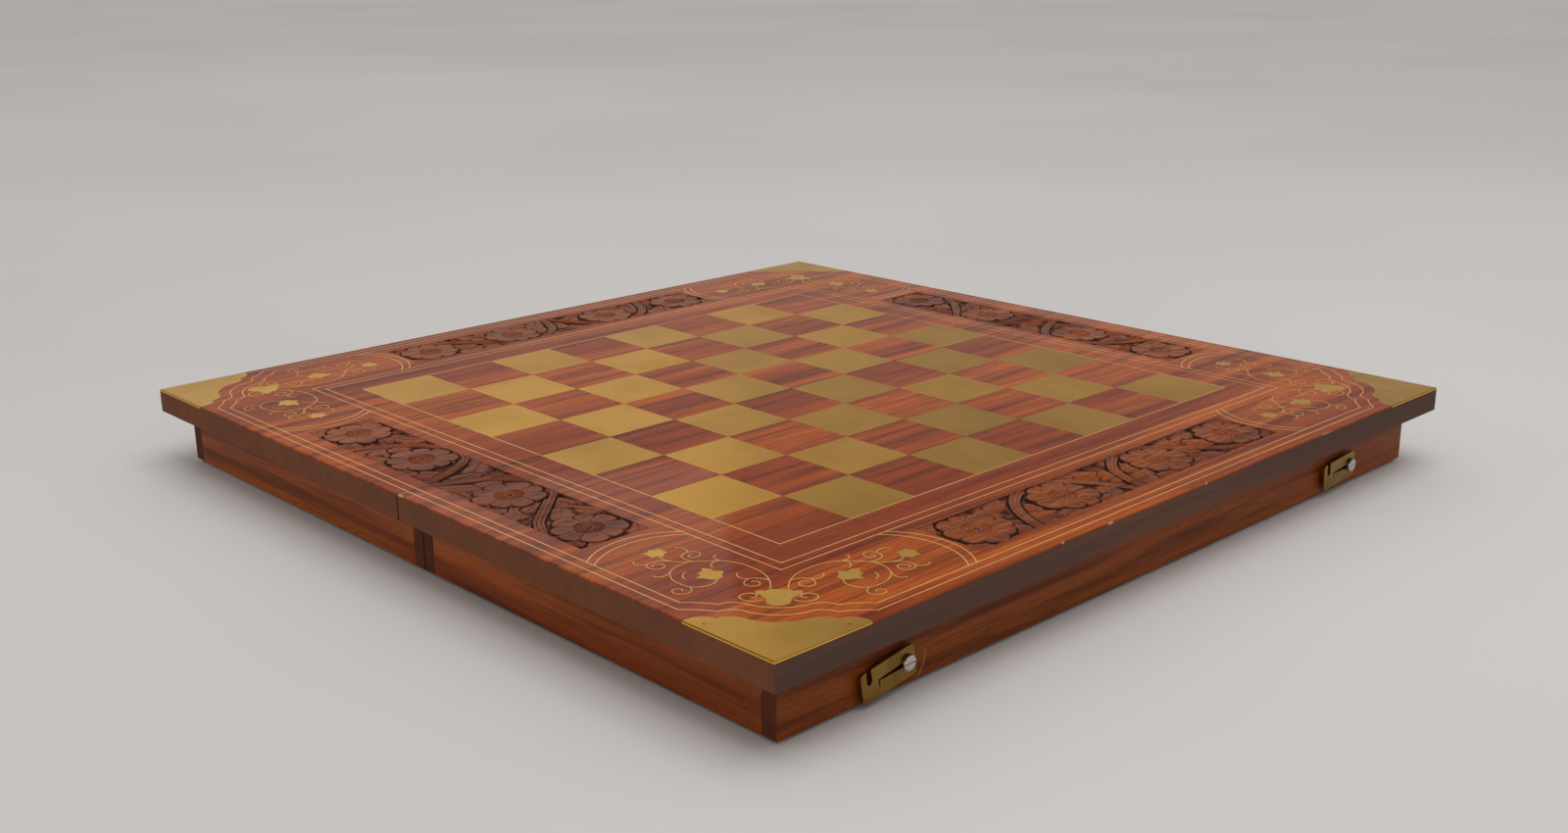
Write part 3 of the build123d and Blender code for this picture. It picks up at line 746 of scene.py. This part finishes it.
flowerForm = {
    "radius": 22.0,
    "petals": 8,
    "swing": 0.07,  # unevenness of the petals' angles
    "hollow": 0.77,  # reach between two petals, as a share of the radius
    "bulge": 0.19,
    "lobeSharpness": 2.2,
    "uneven": 0.03,
    "partingDepth": 0.28,
    "partingWidth": 0.42,
    "notchDepth": 1.2,
    "notchFrom": 0.45,
    "notchFade": 0.35,
    "creaseDepth": 0.22,
    "creaseWidth": 1.7,
    "creaseReach": 0.3,
    "ringRadius": 7.8,
    "eyeRadius": 4.2,
    "lineDepth": 0.9,
    "lineWidth": 0.45,
    "beads": 24,
    "beadRadius": 6.2,
    "beadDepth": 0.7,
    "beadWidth": 0.75,
    "drillDepth": 1.9,
    "drillWidth": 1.4,
    "cut": 0.9,
}

# Marks of the gouge: pitch, depth and seed. They are faint on the forms that stand.
gouges = {"waves": [(4.0, 0.30, 11), (1.6, 0.16, 12)], "fullBelow": 0.4, "onForms": 0.22}

carvingFinish = {
    "light": (0.33, 0.070, 0.007, 1),
    "middle": (0.19, 0.033, 0.004, 1),
    "dark": (0.046, 0.007, 0.002, 1),
    "ringPitch": 0.0042,
    "ringAmount": 1.0,
    "pithDepth": 0.16,
    "contrast": 0.8,
    "ground": (0.062, 0.024, 0.015, 1),
    "sunkShareBetween": (0.25, 0.85),
    "smudgeScale": 260.0,
    "smudgeReach": 0.3,
    "dust": (0.20, 0.12, 0.085, 1),
    "dustBetween": (0.55, 0.72),
    "dustStrength": 0.55,
    # Colour and strength of the painted shade in the cuts.
    "cutShade": (0.012, 0.006, 0.005, 1),
    "cutShadeStrength": 0.9,
    "roughness": 0.40,
    "sunkShareRoughness": 0.25,
    "specular": 0.06,
    "coat": 0.30,
    "sunkShareCoatLoss": 0.25,
    "coatRoughness": 0.12,
    "bump": (0.15, 0.0006),
}


def carvingMaterial(half):
    finish = carvingFinish
    material, tree, shader, place = startMaterial("carved_rosewood_" + half)
    grain = layGrain(tree, vectorMaths(tree, "ADD", place["Object"], grainOffsets[half]), finish)
    sunk = minus(tree, boardTop, parts(tree, place["Object"])["Z"])
    sunk = maths(tree, "DIVIDE", sunk, carving["groundDepth"] / 1000)
    smudge = noise(tree, place["Object"], finish["smudgeScale"], 3.0, 0.6)
    level = plus(tree, sunk, centred(tree, smudge, finish["smudgeReach"]))
    # The deeper a point lies under the board's top, the more it takes the ground's darker colour, more
    # roughness and less coat.
    sunkShare = ramp(tree, level, *finish["sunkShareBetween"])
    stained = mixColor(tree, sunkShare, grain["Color"], finish["ground"])
    dust = ramp(tree, smudge, *finish["dustBetween"], 0.0, finish["dustStrength"])
    dusty = mixColor(tree, times(tree, sunkShare, dust), stained, finish["dust"])
    # Painted shade: steep sides and cuts are painted near black, in place of the shadow that falls in the
    # cuts.
    steep = ramp(tree, parts(tree, place["Normal"])["Z"], 0.45, 0.90, 1.0, 0.0)
    cutShadeShare = times(tree, steep, finish["cutShadeStrength"])
    feed(tree, shader.inputs["Base Color"], mixColor(tree, cutShadeShare, dusty, finish["cutShade"]))
    rough = plus(tree, finish["roughness"], times(tree, sunkShare, finish["sunkShareRoughness"]))
    feed(tree, shader.inputs["Roughness"], rough)
    coat = minus(tree, finish["coat"], times(tree, sunkShare, finish["sunkShareCoatLoss"]))
    feed(tree, shader.inputs["Coat Weight"], coat)
    shader.inputs["Coat Roughness"].default_value = finish["coatRoughness"]
    shader.inputs["Specular IOR Level"].default_value = finish["specular"]
    bumpInto(tree, shader, smudge, *finish["bump"])
    return material


def smoothStep(value):
    clipped = np.clip(value, 0.0, 1.0)
    return clipped * clipped * (3.0 - 2.0 * clipped)


def bell(distance, width):
    return np.exp(-((distance / width) ** 2))


def softNoise(u, v, scale, seed):
    # Smooth unevenness: a few sine waves in different directions.
    rng = np.random.default_rng(seed)
    waves = 6
    total = np.zeros_like(u)
    for _ in range(waves):
        angle = rng.uniform(0, math.tau)
        pitch = scale * rng.uniform(0.6, 1.8)
        along = (u * math.cos(angle) + v * math.sin(angle)) / pitch
        total += np.sin(math.tau * along + rng.uniform(0, math.tau))
    return total / waves


def splinePoints(points, perSpan=16):
    # Catmull-Rom through the points.
    p = np.array([points[0]] + list(points) + [points[-1]], float)
    t = np.linspace(0, 1, perSpan, endpoint=False)[:, None]
    spans = []
    for a, b, c, d in zip(p[:-3], p[1:-2], p[2:-1], p[3:]):
        square = 2 * a - 5 * b + 4 * c - d
        cube = 3 * b - a - 3 * c + d
        spans.append(0.5 * (2 * b + (c - a) * t + square * t**2 + cube * t**3))
    return np.vstack(spans + [p[-1:]])


def laid(height, form, cut):
    # A form lies over what is there already, with a cut all round it.
    inside, surface = form
    outside = np.where(inside > -cut, 0.0, height)
    edge = smoothStep(inside / carving["wallSlope"])
    return np.where(inside > 0, surface * edge, outside)


# Each form gives two maps: how far a point is inside it, and the height of its surface there.

def carvedLeaf(u, v, leafU, leafV, degrees, length):
    f = leafForm
    turn = math.radians(degrees)
    a = (u - leafU) * math.cos(turn) + (v - leafV) * math.sin(turn)
    b = -(u - leafU) * math.sin(turn) + (v - leafV) * math.cos(turn)
    t = np.clip(a / length + 0.5, 0, 1)
    lobes = f["waist"] + f["lobeBulge"] * np.abs(np.sin(math.pi * (f["lobes"] * t + f["lobeStart"])))
    outline = np.sin(math.pi * t ** f["taper"][0]) ** f["taper"][1] * lobes
    half = length * f["width"] / 2 * outline
    inside = np.where(np.abs(a) < length / 2, half - np.abs(b), -9.0)
    vein = f["veinDepth"] * bell(b, f["veinWidth"]) * smoothStep((f["veinEnd"] - t) / f["veinFade"])
    slant = (a - f["sideVeinSlant"] * np.abs(b)) * math.tau / f["sideVeinPitch"]
    sideVeins = f["sideVeinDepth"] * np.clip(np.cos(slant), 0, 1) ** f["sideVeinSharpness"]
    surface = carving["groundDepth"] - f["below"] - vein - sideVeins
    return inside, surface - f["rounding"] * b**2


def carvedStem(u, v, path):
    f = stemForm
    line = splinePoints(path)
    nearest = np.full(u.shape, 1e9)
    for (au, av), (bu, bv) in zip(line[:-1], line[1:]):
        length2 = (bu - au) ** 2 + (bv - av) ** 2 + 1e-12
        t = np.clip(((u - au) * (bu - au) + (v - av) * (bv - av)) / length2, 0, 1)
        nearest = np.minimum(nearest, np.hypot(u - au - t * (bu - au), v - av - t * (bv - av)))
    grooves = f["grooveDepth"] * bell(nearest - f["grooveAt"], f["grooveWidth"])
    surface = carving["groundDepth"] - f["below"] - grooves - f["rounding"] * nearest**2
    return f["width"] / 2 - nearest, surface


def carvedFlower(u, v, centre, turn):
    f = flowerForm
    radius = np.hypot(u - centre, v)
    petalAngle = math.tau / f["petals"]
    angle = np.arctan2(v, u - centre)
    angle += turn + f["swing"] * np.sin(3 * angle + 9 * turn)
    phase = (angle + petalAngle / 2) % petalAngle - petalAngle / 2
    within = np.abs(phase) / (petalAngle / 2)
    number = np.floor((angle + petalAngle / 2) / petalAngle)
    lobe = np.sqrt(np.clip(1 - within ** f["lobeSharpness"], 0, 1))
    uneven = f["uneven"] * np.sin(number * 2.4 + 5 * turn)
    reach = f["radius"] * (f["hollow"] + f["bulge"] * lobe + uneven)
    outward = np.clip((radius - f["ringRadius"]) / (f["radius"] - f["ringRadius"]), 0, 1)
    # Flat petals, parted by a thin line that deepens to a notch at the rim.
    side = (1 - within) * radius * petalAngle / 2
    parting = f["partingDepth"] + f["notchDepth"] * smoothStep((outward - f["notchFrom"]) / f["notchFade"])
    surface = carving["groundDepth"] - parting * bell(side, f["partingWidth"]) * smoothStep(outward * 4)
    crease = f["creaseDepth"] * bell(within * radius * petalAngle / 2, f["creaseWidth"])
    surface -= crease * bell(outward - 0.5, f["creaseReach"])
    # A beaded ring lies round a flat eye with a drilled middle.
    surface -= f["lineDepth"] * bell(radius - f["ringRadius"], f["lineWidth"])
    beads = 0.5 + 0.5 * np.cos(angle * f["beads"])
    surface -= f["beadDepth"] * beads * bell(radius - f["beadRadius"], f["beadWidth"])
    surface -= f["lineDepth"] * bell(radius - f["eyeRadius"], f["lineWidth"])
    surface -= f["drillDepth"] * bell(radius, f["drillWidth"])
    return reach - radius, surface


def scatteredLeaves(u, v, height):
    low = lowLeaves
    rng = np.random.default_rng(low["seed"])
    for column in range(low["columns"]):
        for row in range(low["rows"]):
            leafU = (column - (low["columns"] - 1) / 2) * low["pitch"][0]
            leafU += rng.uniform(-low["shift"], low["shift"])
            leafV = (row - (low["rows"] - 1) / 2) * low["pitch"][1]
            leafV += rng.uniform(-low["shift"], low["shift"])
            degrees = rng.uniform(0, 360)
            inside, surface = carvedLeaf(u, v, leafU, leafV, degrees, rng.uniform(*low["length"]))
            height = laid(height, (inside, surface - low["drop"]), leafForm["cut"])
    return height


def carvingHeight(u, v):
    # Height over the ground, in millimetres, of every point of the panel.
    height = scatteredLeaves(u, v, np.zeros_like(u))
    for leaf in carving["leaves"]:
        height = laid(height, carvedLeaf(u, v, *leaf), leafForm["cut"])
    for path in carving["stems"]:
        height = laid(height, carvedStem(u, v, path), stemForm["cut"])
    first, step = carving["flowerTurn"]
    for k, centre in enumerate(carving["flowers"]):
        height = laid(height, carvedFlower(u, v, centre, first + step * k), flowerForm["cut"])
    marks = sum(depth * softNoise(u, v, pitch, seed) for pitch, depth, seed in gouges["waves"])
    share = np.where(height < gouges["fullBelow"], 1.0, gouges["onForms"])
    return np.clip(height + marks * share, 0.0, carving["groundDepth"])


def panelSurface(low, high, half, side):
    # A grid of points over the panel, at the carving's height.
    alongAxis = {"outer": (1, 0) if half == "lid" else (-1, 0), "left": (0, -1), "right": (0, 1)}[side]
    inwardAxis = (-alongAxis[1], alongAxis[0])
    middle = ((low.x + high.x) / 2, (low.y + high.y) / 2 if side == "outer" else 0.0)
    countX = max(2, round((high.x - low.x) * 1000 / carving["step"])) + 1
    countY = max(2, round((high.y - low.y) * 1000 / carving["step"])) + 1
    xs = np.linspace(low.x, high.x, countX)
    ys = np.linspace(low.y, high.y, countY)
    gridX, gridY = np.meshgrid(xs, ys, indexing="ij")
    fromX, fromY = gridX - middle[0], gridY - middle[1]
    u = (fromX * alongAxis[0] + fromY * alongAxis[1]) * 1000
    v = (fromX * inwardAxis[0] + fromY * inwardAxis[1]) * 1000
    # The panel's border is level with the board, but not along the seam.
    border = np.minimum(gridX - low.x, high.x - gridX) * 1000
    across = [(gridY - low.y) * 1000, (high.y - gridY) * 1000]
    if side != "outer":
        across = across[:1] if half == "lid" else across[1:]
    for distance in across:
        border = np.minimum(border, distance)
    lip = carving["groundDepth"] * (1 - smoothStep((border - carving["margin"]) / carving["wallSlope"]))
    rise = np.maximum(carvingHeight(u, v), lip)
    return np.stack([gridX, gridY, boardTop - (carving["groundDepth"] - rise) / 1000], -1)


def closedMesh(name, surface, bottom):
    # The surface with sides and a back, so that the mesh is a solid.
    verts = surface.reshape(-1, 3)
    index = np.arange(len(verts)).reshape(surface.shape[:2])
    quads = np.stack([index[:-1, :-1], index[1:, :-1], index[1:, 1:], index[:-1, 1:]], -1).reshape(-1, 4)
    rim = np.concatenate([index[:, 0], index[-1, 1:], index[-2::-1, -1], index[0, -2:0:-1]])
    base = verts[rim].copy()
    base[:, 2] = bottom
    baseIndex = len(verts) + np.arange(len(rim))
    after = np.roll(np.arange(len(rim)), -1)
    sides = np.stack([rim, baseIndex, baseIndex[after], rim[after]], -1)
    faces = quads.tolist() + sides.tolist() + [baseIndex[::-1].tolist()]
    mesh = bpy.data.meshes.new(name)
    mesh.from_pydata(np.vstack([verts, base]).tolist(), [], faces)
    mesh.validate()
    mesh.polygons.foreach_set("use_smooth", [True] * len(quads) + [False] * (len(faces) - len(quads)))
    return mesh


def makeCarvedPanel(nodeName, half, side, wood):
    low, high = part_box(nodeName)
    mesh = closedMesh(nodeName + "_relief", panelSurface(low, high, half, side), low.z)
    mesh.materials.append(wood)
    piece = bpy.data.objects.new(nodeName + "_relief", mesh)
    scene.collection.objects.link(piece)
    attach(piece, half)
    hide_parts(nodeName)


for half in ("box", "lid"):
    carvedWood = carvingMaterial(half)
    for side in ("outer", "left", "right"):
        makeCarvedPanel(f"{half}_carved_panel_{side}", half, side, carvedWood)
print("panels carved")


# Floor, light and camera.

floorPaper = {
    "size": 40.0,
    "near": (0.600, 0.575, 0.560, 1),
    # Painted light: the paper's colour far from the set, lighter than near it.
    "far": (0.69, 0.665, 0.65, 1),
    "paintedLightBetween": (0.6, 5.0),
    "cloudScale": 1.2,
    "cloudTones": (0.97, 1.03),
    "roughness": 0.9,
}

# The backdrop falls off to shade above the horizon.
backdrop = {
    "light": (1.0, 0.99, 0.975, 1),
    "strength": 0.62,
    "horizon": (0.64, 0.615, 0.59, 1),
    "overhead": (0.12, 0.115, 0.11, 1),
    "shadeBetween": (0.08, 0.46),
}

lamps = {
    "keyLight": {"power": 26.0, "place": (0.08, -0.50, 2.4), "size": 2.0},
    "glossLight": {"power": 3.7, "place": (1.3, 2.6, 1.9), "size": 1.6},
}


def makeFloor():
    half = floorPaper["size"] / 2
    mesh = bpy.data.meshes.new("floor")
    corners = [(-half, -half, 0), (half, -half, 0), (half, half, 0), (-half, half, 0)]
    mesh.from_pydata(corners, [], [(0, 1, 2, 3)])
    floor = bpy.data.objects.new("floor", mesh)
    scene.collection.objects.link(floor)
    material, tree, shader, place = startMaterial("paleFloor")
    # The paper is painted lighter with distance from the set: painted light, in place of the falloff of
    # the lamps' light.
    away = ramp(tree, vectorMaths(tree, "LENGTH", place["Object"]), *floorPaper["paintedLightBetween"])
    paper = mixColor(tree, away, floorPaper["near"], floorPaper["far"])
    cloud = noise(tree, place["Object"], floorPaper["cloudScale"])
    tone = ramp(tree, cloud, 0.3, 0.7, *floorPaper["cloudTones"])
    feed(tree, shader.inputs["Base Color"], tinted(tree, paper, tone))
    shader.inputs["Roughness"].default_value = floorPaper["roughness"]
    mesh.materials.append(material)


def makeWorld():
    world = bpy.data.worlds.new("studioWorld")
    scene.world = world
    world.use_nodes = True
    tree = world.node_tree
    tree.nodes.clear()
    rays = addNode(tree, "ShaderNodeLightPath").outputs
    seen = maths(tree, "MAXIMUM", rays["Is Camera Ray"], rays["Is Glossy Ray"])
    seen = maths(tree, "MAXIMUM", seen, rays["Is Transmission Ray"])
    light = addNode(tree, "ShaderNodeBackground")
    light.inputs["Color"].default_value = backdrop["light"]
    light.inputs["Strength"].default_value = backdrop["strength"]
    shown = addNode(tree, "ShaderNodeBackground")
    height = parts(tree, addNode(tree, "ShaderNodeTexCoord").outputs["Generated"])["Z"]
    shade = ramp(tree, height, *backdrop["shadeBetween"])
    feed(tree, shown.inputs["Color"], mixColor(tree, shade, backdrop["horizon"], backdrop["overhead"]))
    mixed = addNode(tree, "ShaderNodeMixShader")
    feed(tree, mixed.inputs[0], seen)
    tree.links.new(light.outputs[0], mixed.inputs[1])
    tree.links.new(shown.outputs[0], mixed.inputs[2])
    tree.links.new(mixed.outputs[0], addNode(tree, "ShaderNodeOutputWorld").inputs[0])


def makeLamp(name, power, place, size):
    light = bpy.data.lights.new(name, "AREA")
    light.energy = power
    light.size = size
    lamp = bpy.data.objects.new(name, light)
    lamp.location = place
    lamp.rotation_euler = (-Vector(place)).to_track_quat("-Z", "Y").to_euler()
    scene.collection.objects.link(lamp)


# The photograph's own place and angle, worked out from the board's corners and squares.
cameraFit = {
    "place": (-0.7422, -0.7763, boardTop + 0.3032),
    "looking": (0.65858, 0.69527, -0.28787),
    "roll": -0.553,
    "lens": 38.37,
    "sensor": 36.0,
}


def makeCamera():
    camera = bpy.data.objects.new("camera", bpy.data.cameras.new("camera"))
    camera.data.lens = cameraFit["lens"]
    camera.data.sensor_width = cameraFit["sensor"]
    camera.location = cameraFit["place"]
    camera.rotation_mode = "QUATERNION"
    aim = Vector(cameraFit["looking"]).to_track_quat("-Z", "Y")
    camera.rotation_quaternion = aim @ Quaternion((0, 0, 1), math.radians(cameraFit["roll"]))
    scene.collection.objects.link(camera)
    scene.camera = camera


makeFloor()
makeWorld()
for name, lamp in lamps.items():
    makeLamp(name, **lamp)
makeCamera()
scene.view_settings.view_transform = "Standard"
print("studio and camera ready")
